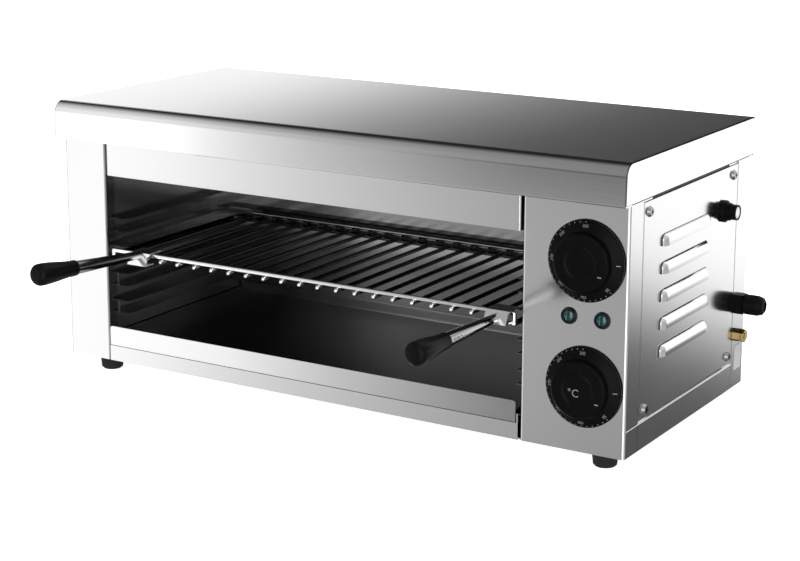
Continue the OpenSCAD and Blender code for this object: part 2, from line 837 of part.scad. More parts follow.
// Green lens in its bezel
module lamp_lens(side) {
    color([0.1, 0.45, 0.35]) place() translate([dial_x + side * lamp_pitch / 2, 0, lamp_z]) rotate([90, 0, 0]) {
        translate([0, 0, -6]) cylinder(d = lens_d, h = 7.2);
        intersection() {
            translate([0, 0, 1.2]) cylinder(d = lens_d, h = 3);
            translate([0, 0, 3 - lens_d]) sphere(d = 2 * lens_d, $fn = 64);
        }
    }
}

// ---------------------------------------------------------------- the side fittings

collar_t = 3.8;
guide_l = 7;
reset_clear = 0.1;
reset_body_d = 26;
reset_body_l = 22;
button_root = 9;

// Limit thermostat that cuts out when the oven overheats, fixed behind the service panel
module reset_thermostat() {
    color([0.2, 0.18, 0.16]) place() difference() {
        union() {
            along_x([x_right - sheet_t - reset_body_l, reset_y, reset_z], reset_body_d, reset_body_l);
            along_x([x_right - sheet_t, reset_y, reset_z], button_d + 2, sheet_t);
        }
        translate([x_right - button_root - button_travel - over, reset_y, reset_z]) rotate([0, 90, 0])
            cylinder(d = button_d + 2 * reset_clear, h = button_root + button_travel + 2 * over);
    }
}

// Round collar on the outside, which guides the button
module reset_collar() {
    color([0.07, 0.07, 0.08]) place() translate([x_right, reset_y, reset_z]) rotate([0, 90, 0]) difference() {
        union() {
            cylinder(d = collar_d, h = collar_t - 1);
            translate([0, 0, collar_t - 1]) cylinder(d1 = collar_d, d2 = collar_d - 2, h = 1);
            cylinder(d = button_d + 2, h = guide_l);
        }
        translate([0, 0, -over]) cylinder(d = button_d + 2 * reset_clear, h = guide_l + 2 * over);
    }
}

// Button that resets the limit thermostat, with a shallow recess in its end
module reset_button() {
    recess = 0.8;
    color([0.07, 0.07, 0.08]) place() translate([x_right, reset_y, reset_z]) rotate([0, 90, 0]) difference() {
        translate([0, 0, -button_root]) cylinder(d = button_d, h = button_root + button_out);
        translate([0, 0, button_out - recess]) cylinder(d = button_d - 2.4, h = recess + over);
    }
}

gland_shank_d = gland_d * 0.84;
gland_shank_l = 12;
gland_hex_l = 5.8;
gland_gap = 1.7;
gland_taper_l = 4.5;
gland_nose_l = 1.8;
seal_d = cable_d + 3;
seal_l = 4.2;
seal_start = gland_out - gland_nose_l - seal_l;

// Moves to the gland's middle on the case's side, with +Z outwards
module at_gland() {
    translate([x_right, gland_y, gland_z]) rotate([0, 90, 0]) children();
}

// Cable gland: hexagon body with a threaded shank through the back panel's side strip
module gland_body() {
    color([0.05, 0.05, 0.06]) place() at_gland() difference() {
        union() {
            translate([0, 0, -gland_shank_l]) cylinder(d = gland_shank_d, h = gland_shank_l + seal_start);
            linear_extrude(height = gland_hex_l) rotate([0, 0, 30]) hexagon(gland_d * 0.95);
        }
        translate([0, 0, -gland_shank_l - over]) cylinder(d = cable_d, h = gland_out + gland_shank_l);
    }
}

// Cap nut with a tapered end, which squeezes the seal on the cable
module gland_cap_nut() {
    start = gland_hex_l + gland_gap;
    taper = gland_out - gland_nose_l - gland_taper_l;
    color([0.05, 0.05, 0.06]) place() at_gland() difference() {
        union() {
            translate([0, 0, start]) cylinder(d = gland_d, h = taper - start);
            translate([0, 0, taper]) cylinder(d1 = gland_d, d2 = gland_d * 0.86, h = gland_taper_l);
            translate([0, 0, taper + gland_taper_l])
                cylinder(d1 = gland_d * 0.86, d2 = gland_d * 0.62, h = gland_nose_l);
        }
        cylinder(d = gland_shank_d, h = seal_start);
        cylinder(d = seal_d, h = seal_start + seal_l);
        cylinder(d = cable_d, h = gland_out + over);
    }
}

// Rubber ring inside the cap nut
module gland_seal() {
    color([0.15, 0.15, 0.15]) place() at_gland() translate([0, 0, seal_start]) difference() {
        cylinder(d = seal_d, h = seal_l);
        translate([0, 0, -over]) cylinder(d = cable_d, h = seal_l + 2 * over);
    }
}

// Thin nut on the gland's shank inside the case
module gland_locknut() {
    nut_h = 4;
    color([0.1, 0.1, 0.1]) place() at_gland() translate([0, 0, -sheet_t - nut_h]) difference() {
        linear_extrude(height = nut_h) hexagon(gland_d + 3);
        translate([0, 0, -over]) cylinder(d = gland_shank_d, h = nut_h + 2 * over);
    }
}

bond_nut_h = 4.4;
bond_cap_h = 2.4;
bond_gap = 0.5;
bond_out = bond_nut_h + bond_gap + bond_cap_h + 0.7;

// Brass stud for the bonding wire
module bonding_stud() {
    color("goldenrod") place() along_x([x_right - 14, gland_y, bond_z], bond_d, 14 + bond_out);
}

// A nut on the bonding stud, from x along X
module bond_nut(x, h) {
    translate([x, gland_y, bond_z]) rotate([0, 90, 0]) difference() {
        linear_extrude(height = h) hexagon(bond_nut_w);
        translate([0, 0, -over]) cylinder(d = bond_d, h = h + 2 * over);
    }
}

// Brass nuts: one inside the sheet, one outside it, and a thin one that clamps the wire
module bonding_nuts() {
    color("goldenrod") place() {
        bond_nut(x_right - sheet_t - bond_nut_h, bond_nut_h);
        bond_nut(x_right, bond_nut_h);
        bond_nut(x_right + bond_nut_h + bond_gap, bond_cap_h);
    }
}

// Bare plate on the back panel's side strip
module rating_plate() {
    plate_w = 16;
    plate_l = 23.5;
    low = 16.5;
    middle = (side_rear_y + body_d) / 2;
    color("white") place()
        slab([x_right, middle - plate_w / 2, low], [x_right + 0.4, middle + plate_w / 2, low + plate_l]);
}

// Rail mounted terminal block inside the case, where the supply cable ends
module terminal_block() {
    block_w = 18;
    ways = 5;
    way_l = 9;
    inset_x = 40;
    inset_y = 70;
    x = x_right - inset_x;
    y = side_rear_y - inset_y;
    color("ivory") place() difference() {
        slab([x, y, sheet_t], [x + block_w, y + ways * way_l, sheet_t + 16]);
        for (i = [0 : ways - 1]) {
            along_x([x - over, y + (i + 0.5) * way_l, sheet_t + 7], 4.5, block_w + 2 * over);
            for (side = [0.27, 0.73])
                translate([x + side * block_w, y + (i + 0.5) * way_l, sheet_t + 10]) cylinder(d = 3.6, h = 8);
        }
    }
}

// ---------------------------------------------------------------- screws and feet

service_screws = [
    [screw_front_y, screw_low_z],
    [screw_front_y, screw_high_z],
    [screw_rear_y, screw_low_z],
    [screw_rear_y, screw_high_z]
];
screw_d = screw_head_d / 2;
lip_margin = 8;
rear_flange_w = 24;
back_screws = [
    [x_left + rear_flange_w / 2, rail_h],
    [x_left + rear_flange_w / 2, screw_high_z],
    [oven_x, rail_h],
    [dial_x, rail_h]
];
lid_screws = [for (side = [-1, 0, 1]) side * body_w / 3];
lid_screw_z = body_h + lid_h / 2;
foot_screw_d = 5;
foot_places = [
    [x_left + left_foot_inset, foot_inset_y],
    [x_right - right_foot_inset, foot_inset_y],
    [x_left + left_foot_inset, body_d - foot_inset_y],
    [x_right - right_foot_inset, body_d - foot_inset_y]
];

module service_panel_screws() {
    color("silver") place() for (at = service_screws)
        translate([x_right, at[0], at[1]]) case_screw(screw_head_d, 9);
}

// Screws through the back panel and through the lid's rear skirt
module case_screws() {
    color("silver") place() {
        for (at = back_screws) translate([at[0], body_d, at[1]]) rotate([0, 0, 90]) case_screw(screw_head_d, 8);
        for (x = lid_screws) translate([x, reach_back, lid_screw_z]) rotate([0, 0, 90])
            case_screw(screw_head_d, lid_back + 5);
    }
}

// Tapered rubber foot with a recess for its screw
module foot(at) {
    recess = foot_h * 0.5;
    color([0.06, 0.06, 0.06]) place() translate([at[0], at[1], -foot_h]) difference() {
        rotate_extrude() polygon([
            [0, 0],
            [foot_d / 2 - 3, 0],
            [foot_d / 2 - 1.2, 1.6],
            [foot_d / 2, foot_h],
            [0, foot_h]
        ]);
        translate([0, 0, -over]) cylinder(d = foot_screw_d * 2.2, h = recess + over);
        cylinder(d = foot_screw_d, h = foot_h + over);
    }
}

// Screws that hold the feet, with nuts inside the base pan
module foot_screws() {
    recess = foot_h * 0.5;
    color("silver") place() for (at = foot_places) translate([at[0], at[1], 0]) {
        translate([0, 0, recess - foot_h]) cylinder(d = foot_screw_d, h = foot_h - recess + sheet_t + 6);
        translate([0, 0, recess - foot_h - 2.5]) cylinder(d = foot_screw_d * 1.8, h = 2.5);
        translate([0, 0, sheet_t]) linear_extrude(height = 4) hexagon(foot_screw_d * 1.6);
    }
}

// ---------------------------------------------------------------- the rack

// Two side rods, the front wire whose ends are bent down to them, the rear wire that
// lies on the bars, and a cross rod under the bars below it
module rack_frame() {
    rear_wire_l = 2 * (rod_x - bar_pitch + bar_d);
    color("lightgray") place() translate([rack_x, wire_y, 0]) {
        for (side = [-1, 1]) {
            translate([side * rod_x, 0, side_rod_z]) {
                sphere(d = side_rod_d);
                rotate([-90, 0, 0]) cylinder(d = side_rod_d, h = rack_d);
                translate([0, rack_d, 0]) sphere(d = side_rod_d);
                cylinder(d = wire_d, h = wire_z - side_rod_z);
            }
            translate([side * rod_x, 0, wire_z]) sphere(d = wire_d);
        }
        along_x([-rod_x, 0, wire_z], wire_d, 2 * rod_x);
        along_x([-rod_x, rack_d, cross_rod_z], wire_d, 2 * rod_x);
        along_x([-rear_wire_l / 2, rack_d, wire_z], wire_d, rear_wire_l);
    }
}

// Round bars from front to back with round ends
module rack_bars() {
    end_r = bar_d / 2;
    length = rack_d + 2 * (bar_lead - end_r);
    color("gray") place() for (i = [1 : bar_count])
        translate([rack_x - rod_x + i * bar_pitch, wire_y - bar_lead + end_r, bar_z]) {
            sphere(r = end_r);
            along_y([0, 0, 0], bar_d, length);
            translate([0, length, 0]) sphere(r = end_r);
        }
}

rod_tail = 2 * bracket_t + 1.5;
handle_sides = [
    [rack_x - rack_w / 2 + left_handle_inset, left_handle_rise, left_handle_tilt, left_handle_splay],
    [rack_x + rack_w / 2 - right_handle_inset, right_handle_rise, right_handle_tilt, 0]
];

// Moves to a handle's root in front of its bracket, with +Z along the handle
module at_handle(side) {
    translate([side[0], handle_y, bar_z + side[1]]) rotate([90 - side[2], 0, -side[3]]) children();
}

// Formed clips: a plate over the front wire, a front that leans out over the bars' ends,
// and a tongue back under the bars
module handle_brackets() {
    color("lightgray") place() for (side = handle_sides) difference() {
        extrude_x(side[0] - bracket_w / 2, bracket_w) polygon([
            [wire_y + bracket_l, bracket_top],
            [bracket_top_y, bracket_top],
            [bracket_low_y, bracket_low],
            [wire_y, bracket_low],
            [wire_y, bracket_low - bracket_t],
            [bracket_low_y - bracket_t, bracket_low - bracket_t],
            [bracket_top_y - bracket_t, bracket_top + bracket_t],
            [wire_y + bracket_l, bracket_top + bracket_t]
        ]);
        at_handle(side) translate([0, 0, -rod_tail - over])
            cylinder(d = tie_rod_d, h = rod_tail + over + bracket_lean);
    }
}

// Conical steel sleeves whose ends are shaped to the brackets' fronts
module handle_sleeves() {
    wall = 1;
    color("gray") place() for (side = handle_sides) difference() {
        at_handle(side) difference() {
            cylinder(d1 = sleeve_d1, d2 = sleeve_d2, h = sleeve_l);
            translate([0, 0, 2 * bracket_t + bracket_lean])
                cylinder(d1 = sleeve_d1 - 2 * wall, d2 = sleeve_d2 - 2 * wall, h = sleeve_l);
            translate([0, 0, -over]) cylinder(d = tie_rod_d, h = sleeve_l);
        }
        extrude_x(side[0] - bracket_w / 2, bracket_w) polygon([
            [wire_y, bracket_low - sleeve_d1],
            [bracket_low_y - bracket_t, bracket_low - sleeve_d1],
            [bracket_low_y - bracket_t, bracket_low - bracket_t],
            [bracket_top_y - bracket_t, bracket_top + bracket_t],
            [wire_y, bracket_top + bracket_t]
        ]);
    }
}

// Black plastic grips that widen to a domed end
module handle_grips() {
    dome_r = (grip_d2 * grip_d2 / 4 + grip_dome * grip_dome) / (2 * grip_dome);
    color([0.06, 0.06, 0.06]) place() for (side = handle_sides) at_handle(side) translate([0, 0, sleeve_l])
        difference() {
            union() {
                cylinder(d = grip_d1, h = 6);
                translate([0, 0, 6]) cylinder(d1 = grip_d1, d2 = grip_d2, h = grip_l * 0.55 - 6);
                translate([0, 0, grip_l * 0.55]) cylinder(d = grip_d2, h = grip_l * 0.45);
                intersection() {
                    translate([0, 0, grip_l]) cylinder(d = grip_d2, h = grip_dome + over);
                    translate([0, 0, grip_l + grip_dome - dome_r]) sphere(r = dome_r, $fn = 96);
                }
            }
            translate([0, 0, -over]) cylinder(d = tie_rod_d, h = grip_l * 0.6 + over);
        }
}

// Rods that are riveted into the brackets, run through the sleeves and end in the grips
module handle_tie_rods() {
    color("silver") place() for (side = handle_sides) at_handle(side)
        translate([0, 0, -rod_tail]) cylinder(d = tie_rod_d, h = rod_tail + sleeve_l + grip_l * 0.6);
}

// ---------------------------------------------------------------- the crumb tray

// Flat pan with a deep front edge that hangs down over the oven floor's front
module crumb_tray() {
    rear = oven_d - slip;
    rim_z = tray_floor_z + tray_rim_h;
    color("dimgray") place() {
        extrude_y(0, tray_t) {
            strip([tray_l, tray_lip_z], [tray_r, tray_top - tray_corner]);
            strip([tray_l + tray_corner, tray_lip_z], [tray_r - tray_corner, tray_top]);
            for (x = [tray_l + tray_corner, tray_r - tray_corner])
                translate([x, tray_top - tray_corner]) circle(r = tray_corner);
        }
        slab([tray_l, 0, tray_floor_z], [tray_r, rear, tray_floor_z + tray_t]);
        slab([tray_l, 0, tray_floor_z], [tray_l + tray_t, rear, rim_z]);
        slab([tray_r - tray_t, 0, tray_floor_z], [tray_r, rear, rim_z]);
        slab([tray_l, rear - tray_t, tray_floor_z], [tray_r, rear, tray_floor_z + tray_rear_h]);
    }
}

left_side_panel();
back_panel();
base_pan();
control_panel();
upper_fascia();
service_panel();
lid();
oven_left_wall();
oven_right_wall();
oven_back_wall();
oven_floor();
oven_roof();
left_runners();
right_runners();
insulation_board();
heat_shield();
heating_element(element_y[0]);  // heating_element_front
heating_element(element_y[1]);  // heating_element_rear
element_hangers();
element_bushings();
element_terminals();
terminal_block();
thermostat(upper_dial_z);  // thermostat_upper
thermostat(lower_dial_z);  // thermostat_lower
sensor(upper_dial_z, 0);  // sensor_upper
sensor(lower_dial_z, 1);  // sensor_lower
thermostat_screws();
lamp_bezel(-1);  // left_lamp_bezel
lamp_bezel(1);  // right_lamp_bezel
lamp_lens(-1);  // left_lamp_lens
lamp_lens(1);  // right_lamp_lens
reset_thermostat();
reset_collar();
gland_body();
gland_cap_nut();
gland_seal();
gland_locknut();
bonding_stud();
bonding_nuts();
rating_plate();
service_panel_screws();
case_screws();
foot(foot_places[0]);  // foot_front_left
foot(foot_places[1]);  // foot_front_right
foot(foot_places[2]);  // foot_rear_left
foot(foot_places[3]);  // foot_rear_right
foot_screws();
dial(upper_dial_z);  // dial_upper
dial(lower_dial_z);  // dial_lower
shaft(upper_dial_z);  // shaft_upper
shaft(lower_dial_z);  // shaft_lower
reset_button();
rack_frame();
rack_bars();
handle_brackets();
handle_sleeves();
handle_grips();
handle_tie_rods();
crumb_tray();
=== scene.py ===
import math

import bpy
import numpy as np
from mathutils import Matrix, Vector


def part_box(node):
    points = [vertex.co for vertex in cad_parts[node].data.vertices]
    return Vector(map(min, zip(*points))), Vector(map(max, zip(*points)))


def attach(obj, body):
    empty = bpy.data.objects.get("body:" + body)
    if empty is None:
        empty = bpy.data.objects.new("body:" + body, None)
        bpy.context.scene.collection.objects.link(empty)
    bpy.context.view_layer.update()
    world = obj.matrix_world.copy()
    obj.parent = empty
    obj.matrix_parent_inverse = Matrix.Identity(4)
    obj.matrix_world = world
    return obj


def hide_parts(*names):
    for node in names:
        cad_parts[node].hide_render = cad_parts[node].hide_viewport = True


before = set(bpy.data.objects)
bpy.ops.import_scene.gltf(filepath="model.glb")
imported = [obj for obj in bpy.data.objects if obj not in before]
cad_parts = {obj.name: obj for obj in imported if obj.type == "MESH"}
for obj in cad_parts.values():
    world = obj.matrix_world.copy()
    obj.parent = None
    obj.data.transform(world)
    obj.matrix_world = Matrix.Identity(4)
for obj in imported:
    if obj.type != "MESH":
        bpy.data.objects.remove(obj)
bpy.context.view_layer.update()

# Camera: it stands in front of the grill's right end, a little above the lid. Places are
# given from the cabinet's own origin: the middle of its width, its front plane and its
# underside.
half_width = 0.3
cabinet = Vector((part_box("control_panel")[1].x - half_width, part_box("control_panel")[0].y,
                  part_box("base_pan")[0].z))
target = cabinet + Vector((0, 0.15, 0.12))
turn, tilt, roll = 0.549377, 0.209235, 0.003014
distance, aside, over_target = 1.855548, 0.009259, 0.039644
back = Vector((math.sin(turn) * math.cos(tilt), -math.cos(turn) * math.cos(tilt),
               math.sin(tilt)))
right = Vector((math.cos(turn), math.sin(turn), 0))
up = back.cross(right)
eye_place = target + back * distance - right * aside + up * over_target
eye_right = right * math.cos(roll) + up * math.sin(roll)
eye_up = up * math.cos(roll) - right * math.sin(roll)
lens = bpy.data.cameras.new("eye")
lens.sensor_width = 36
lens.lens = 86.615
lens.shift_y = -0.1
lens.clip_start = 0.01
eye = bpy.data.objects.new("eye", lens)
bpy.context.collection.objects.link(eye)
eye.matrix_world = Matrix((
    (eye_right.x, eye_up.x, back.x, eye_place.x),
    (eye_right.y, eye_up.y, back.y, eye_place.y),
    (eye_right.z, eye_up.z, back.z, eye_place.z),
    (0, 0, 0, 1),
))
bpy.context.scene.camera = eye
bpy.context.scene.view_settings.view_transform = "Standard"


# Studio: a pale floor under one broad soft light. The sheet steel mirrors a room with a
# window on the left, soft boxes on the right and dim walls behind and low in front. The
# camera sees only a pale shell round it.
class Signal:
    """One output of a shader node, or a bare tree. Signs between signals and numbers add
    Math nodes, and node() adds a node of any other kind."""

    def __init__(self, tree, socket=None):
        self.tree, self.socket = tree, socket

    def node(self, kind, settings=None, values=None, output=0):
        made = self.tree.nodes.new("ShaderNode" + kind)
        for key, value in (settings or {}).items():
            setattr(made, key, value)
        for key, value in (values or {}).items():
            if isinstance(value, Signal):
                self.tree.links.new(value.socket, made.inputs[key])
            else:
                made.inputs[key].default_value = value
        return Signal(self.tree, made.outputs[output])

    def other(self, name):
        """Another output of the same node."""
        return Signal(self.tree, self.socket.node.outputs[name])

    def math(self, operation, *terms):
        return self.node("Math", {"operation": operation}, dict(enumerate(terms)))

    def span(self, low, high, start=0.0, end=1.0, kind="LINEAR"):
        """This signal from low to high becomes start to end, and stays there outside."""
        return self.node("MapRange", {"interpolation_type": kind}, {
            "Value": self, "From Min": low, "From Max": high, "To Min": start, "To Max": end})

    def read(self, stops):
        """This signal, read off a rising list of (value, tone) stops."""
        low, high = stops[0][0], stops[-1][0]
        made = self.node("ValToRGB", values={0: self.span(low, high)})
        elements = made.socket.node.color_ramp.elements
        elements.remove(elements[1])
        elements[0].position = 0.0
        elements[0].color = colour(stops[0][1])
        for value, tone in stops[1:]:
            elements.new((value - low) / (high - low)).color = colour(tone)
        return made

    def __add__(self, other):
        return self.math("ADD", self, other)

    def __sub__(self, other):
        return self.math("SUBTRACT", self, other)

    def __rsub__(self, other):
        return self.math("SUBTRACT", other, self)

    def __mul__(self, other):
        return self.math("MULTIPLY", self, other)

    __radd__, __rmul__ = __add__, __mul__


def colour(tone):
    """A socket's colour from one grey number, or from three numbers."""
    return (*tone, 1) if isinstance(tone, tuple) else (tone, tone, tone, 1)


def blend(low, high, share):
    """The colour between two tones at a share that varies over the surface."""
    return share.node("Mix", {"data_type": "RGBA"}, {0: share, 6: colour(low), 7: colour(high)}, 2)


def between(low, high, share):
    """The signal that goes from low to high as the share goes from 0 to 1."""
    return low + (high - low) * share


world = bpy.data.worlds.new("room")
bpy.context.scene.world = world
world.use_nodes = True
room = Signal(world.node_tree)
toward = room.node("SeparateXYZ", values={0: room.node("TexCoord")})
depth, height = toward.other("Y"), toward.other("Z")
behind = depth.span(-0.2, 0.4)
above = height.span(0.0, 0.1)

# The left side: dim walls, and the window with its soft edge, which leans over behind.
front_wall = height.read([
    (-0.6, 0.1), (-0.42, 0.15), (-0.36, 0.46), (-0.25, 0.54), (-0.2, 0.52), (-0.175, 0.48),
    (-0.145, 0.2), (-0.12, 0.09), (-0.05, 0.12), (0.1, 0.3), (0.6, 0.3), (1.0, 0.3)])
rear_wall = height.read([(0.0, 0.07), (0.24, 0.07), (0.45, 0.03), (0.9, 0.02), (1.0, 0.3)])
dim = between(front_wall, rear_wall, behind)
lean = height.span(0.106, 0.191, -0.19, 0.086) * behind * above
window = (toward + lean).read([
    (-0.68, 1.0), (-0.612, 1.0), (-0.589, 0.62), (-0.565, 0.46), (-0.551, 0.36), (-0.525, 0.27),
    (-0.508, 0.2), (-0.494, 0.14), (-0.462, 0.055), (-0.416, 0.012), (-0.38, 0.0)])
pane = above.span(0, 1, 1.75, 1.25)
shade = behind * height.span(0.42, 0.52) + (1.0 - behind) * height.span(0.45, 0.95, 0.0, 0.8)
far_edge = toward.span(-0.72, -0.67, 0.3, 1.0)
left_room = dim + (pane - dim) * (window * (1.0 - shade)) * far_edge

# The right side: a sloping soft box in front, and an open bright room further round.
slope = height - (toward - 0.363) * 0.35
right_room = slope.span(-0.291, -0.236, 0.1, 1.6, "SMOOTHSTEP")
open_room = height.read([
    (-1.0, 0.6), (-0.45, 0.75), (-0.1, 0.6), (0.1, 0.75), (0.6, 0.95), (1.0, 0.8)])
open_room = open_room + (toward - depth).span(1.25, 1.34) * 1.6
side_room = between(right_room, open_room, (toward - depth * 0.35).span(0.2, 0.4))

# The whole room, with a small soft box nearly straight in front.
glow = between(left_room, open_room, toward.span(-0.34, -0.1))
glow = between(glow, side_room, toward.span(0.0, 0.15))
across = toward.span(0.0, 0.06) * toward.span(0.2, 0.3, 1.0, 0.0)
glow = glow + across * depth.span(-0.92, -0.82, 1.0, 0.0) * 3.0
background = world.node_tree.nodes["Background"]
world.node_tree.links.new(glow.socket, background.inputs["Strength"])
background.inputs["Color"].default_value = colour(1)


def shader(name, **constants):
    """A new material; its Principled shader's sockets are set to the constants."""
    made = bpy.data.materials.new(name)
    made.use_nodes = True
    surface = made.node_tree.nodes["Principled BSDF"]
    for key, value in constants.items():
        surface.inputs[key.replace("_", " ")].default_value = value
    return made, surface, Signal(made.node_tree)


def join(signal, surface, name):
    """Feeds one of a shader's sockets from a signal."""
    signal.tree.links.new(signal.socket, surface.inputs[name])


def mesh_piece(name, points, faces, *materials, slots=None):
    """An object at the origin from arrays of points and of faces, smooth shaded. Where it
    has several materials, slots gives each face its own."""
    shape = bpy.data.meshes.new(name)
    shape.from_pydata(np.asarray(points, float).tolist(), [], faces)
    shape.polygons.foreach_set("use_smooth", np.ones(len(shape.polygons), bool))
    shape.update()
    for material in materials:
        shape.materials.append(material)
    if slots:
        shape.polygons.foreach_set("material_index", slots)
    piece = bpy.data.objects.new(name, shape)
    bpy.context.collection.objects.link(piece)
    return piece


def ring_quads(rings, sides):
    """Faces between rings of points that follow each other, each ring closed on itself."""
    here = np.arange(rings - 1)[:, None] * sides + np.arange(sides)
    there = np.arange(rings - 1)[:, None] * sides + (np.arange(sides) + 1) % sides
    return np.stack([here, there, there + sides, here + sides], -1).reshape(-1, 4)


floor_paint, floor_surface, paint = shader(
    "floor_paint", Roughness=0.9, Emission_Color=colour(1.0), Emission_Strength=0.8)
speckle = paint.node("TexNoise", values={"Vector": paint.node("TexCoord", output=3), "Scale": 3.0})
join(blend(0.88, 0.9, speckle), floor_surface, "Base Color")
floor_reach = 12.0
floor_points = np.array([(-1, -1, 0), (1, -1, 0), (1, 1, 0), (-1, 1, 0)]) * floor_reach
floor = mesh_piece("floor", floor_points, [(0, 1, 2, 3)], floor_paint)
floor.visible_glossy = False

shell_paint = shader("shell_paint", Base_Color=colour(0.0), Roughness=1.0,
                     Emission_Color=colour(1.0), Emission_Strength=1.0)[0]
shell_r, shell_rings, shell_sides = 9, 12, 32
around, rise = np.meshgrid(np.linspace(0, 2 * np.pi, shell_sides + 1)[:-1],
                           np.linspace(-0.2, 0.5 * np.pi - 0.02, shell_rings))
shell_points = np.stack(
    [np.cos(around) * np.cos(rise), np.sin(around) * np.cos(rise), np.sin(rise)], -1) * shell_r
inward_quads = ring_quads(shell_rings, shell_sides)[:, [0, 3, 2, 1]]
shell = mesh_piece("shell", shell_points.reshape(-1, 3), inward_quads.tolist(), shell_paint)
shell.visible_glossy = shell.visible_diffuse = False
shell.visible_shadow = shell.visible_transmission = False

soft_sun = bpy.data.lights.new("soft_sun", "SUN")
soft_sun.energy = 3.0
soft_sun.angle = math.radians(100)
sun = bpy.data.objects.new("soft_sun", soft_sun)
bpy.context.collection.objects.link(sun)
sun.visible_glossy = False


# Outer sheets: ground stainless steel, 1.2 mm thick, bent on a press brake. The grain of
# the grinding runs along the cabinet, and three of the sheets have painted shade along one edge.
def ground_steel(name, tone, gloss, grain=0.03, tint=(1, 1, 1), lay=(15, 15, 900), painted_light=None):
    """Steel whose grain is noise drawn out 60 times along the axes where lay is small,
    over a slow drift. The painted light, a function of x, y and z, multiplies its colour: painted
    shade, and painted highlights, in places."""
    material, surface, tree = shader(name, Metallic=1.0)
    place = tree.node("TexCoord", output=3)
    lines = tree.node("TexNoise", values={
        "Vector": tree.node("Mapping", values={"Vector": place, "Scale": lay}),
        "Scale": 1.0, "Detail": 2.0})
    drift = tree.node("TexNoise", values={"Vector": place, "Scale": 7.0, "Detail": 1.0})
    share = lines * 0.6 + drift * 0.4
    low = tuple(tone * part * (1 - grain) for part in tint)
    high = tuple(tone * part * (1 + grain) for part in tint)
    base = blend(low, high, share)
    if painted_light:
        spot = tree.node("SeparateXYZ", values={0: place})
        base = base.node("Mix", {"data_type": "RGBA", "blend_type": "MULTIPLY"},
                         {0: 1.0, 6: base, 7: painted_light(spot, spot.other("Y"), spot.other("Z"))}, 2)
    join(base, surface, "Base Color")
    join((share - 0.5) * grain + gloss, surface, "Roughness")
    relief = tree.node("Bump", values={"Strength": 0.02, "Distance": 0.0002, "Height": lines})
    join(relief, surface, "Normal")
    return material


def edge_stain(start, stop, before, after):
    """Painted shade along an edge: the tone goes from one factor to another between two places along x.
    """
    return lambda x, y, z: x.span(start, stop, before, after)


def dress(material, *names):
    """Gives CAD nodes their material."""
    for name in names:
        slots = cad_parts[name].data.materials
        slots.clear()
        slots.append(material)


sheet_tone, sheet_gloss = 0.62, 0.15
cabinet_steel = ground_steel("cabinet_steel", sheet_tone, sheet_gloss)
dress(cabinet_steel, "back_panel", "base_pan")
fascia_right, upright_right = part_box("upper_fascia")[1].x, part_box("left_side_panel")[1].x
panel_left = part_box("control_panel")[0].x
for name, node, *edge in (
    ("fascia_steel", "upper_fascia", fascia_right - 0.0016, fascia_right - 0.0011, 1.0, 0.4),
    ("upright_steel", "left_side_panel", upright_right - 0.0016, upright_right - 0.0012, 1.0, 0.15),
    ("panel_steel", "control_panel", panel_left + 0.0009, panel_left + 0.0014, 0.2, 1.0),
):
    dress(ground_steel(name, sheet_tone, sheet_gloss, painted_light=edge_stain(*edge)), node)

# Lid: one thinner sheet, pressed and a little glossier, held by three screws through its
# rear skirt. The front rolls over into the top, and the skirt's foot turns in.
lid_steel = ground_steel("lid_steel", 0.66, 0.1, lay=(15, 900, 900))
# A dark copy of the steel: painted shade, for the lid's side hems and for the service panel's gaps,
# folds and creases.
painted_shade_steel = ground_steel("painted_shade_steel", 0.05, 0.4)
lid_t, nose_r, lean_in, rear_r = 0.001, 0.0113, 0.0007, 0.0012
hem_r, hem_reach, side_hem_r, side_hem_reach = 0.0009, 0.0122, 0.0014, 0.0025
hem_steps, support, hair = 6, 0.0004, 0.00001


def arc(middle, radius, start, stop, steps):
    """Points on a circle round middle, from one angle to another in degrees."""
    angle = np.radians(np.linspace(start, stop, steps))
    return np.stack([middle[0] + radius * np.cos(angle), middle[1] + radius * np.sin(angle)], -1)


def swept(outline, axis, ends):
    """A band of faces: a flat outline, repeated at both ends of a straight run along an
    axis."""
    count = len(outline)
    points = np.concatenate([np.insert(outline, axis, end, 1) for end in ends])
    return points, [(i, i + count, i + count + 1, i + 1) for i in range(count - 1)]


def thicken(piece, thickness):
    """Gives a sheet its thickness inwards, and keeps its cut edges sharp."""
    wall = piece.modifiers.new("sheet", "SOLIDIFY")
    wall.thickness, wall.offset = thickness, -1
    piece.modifiers.new("edges", "EDGE_SPLIT").split_angle = math.radians(50)


lid_low, lid_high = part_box("lid")
front_y, back_y, foot_z, top_z = lid_low.y, lid_high.y, lid_low.z, lid_high.z
roll_over = np.concatenate([
    [(front_y + hem_reach, foot_z)],
    arc((front_y + hem_r, foot_z + hem_r), hem_r, 270, 180, hem_steps),
    [(front_y + hair, foot_z + hem_r + support),
     (front_y + lean_in - hair, top_z - nose_r - support)],
    arc((front_y + lean_in + nose_r, top_z - nose_r), nose_r, 180, 90, 28),
    [(front_y + lean_in + nose_r + support, top_z), (back_y - rear_r - support, top_z)],
    arc((back_y - rear_r, top_z - rear_r), rear_r, 90, 0, 6),
    [(back_y, top_z - rear_r - support), (back_y, foot_z)],
])
lid_points, lid_faces = swept(roll_over, 0, (lid_low.x, lid_high.x))
lid_slots = [0] * len(lid_faces)
side_outline = roll_over[hem_steps:].copy()
side_outline[0] = (front_y, foot_z + side_hem_r)
side_outline[-1] = (back_y, foot_z + side_hem_r)
side_hem = np.concatenate([arc((side_hem_r, foot_z + side_hem_r), side_hem_r, 180, 270, hem_steps),
                           [(side_hem_reach, foot_z)]])
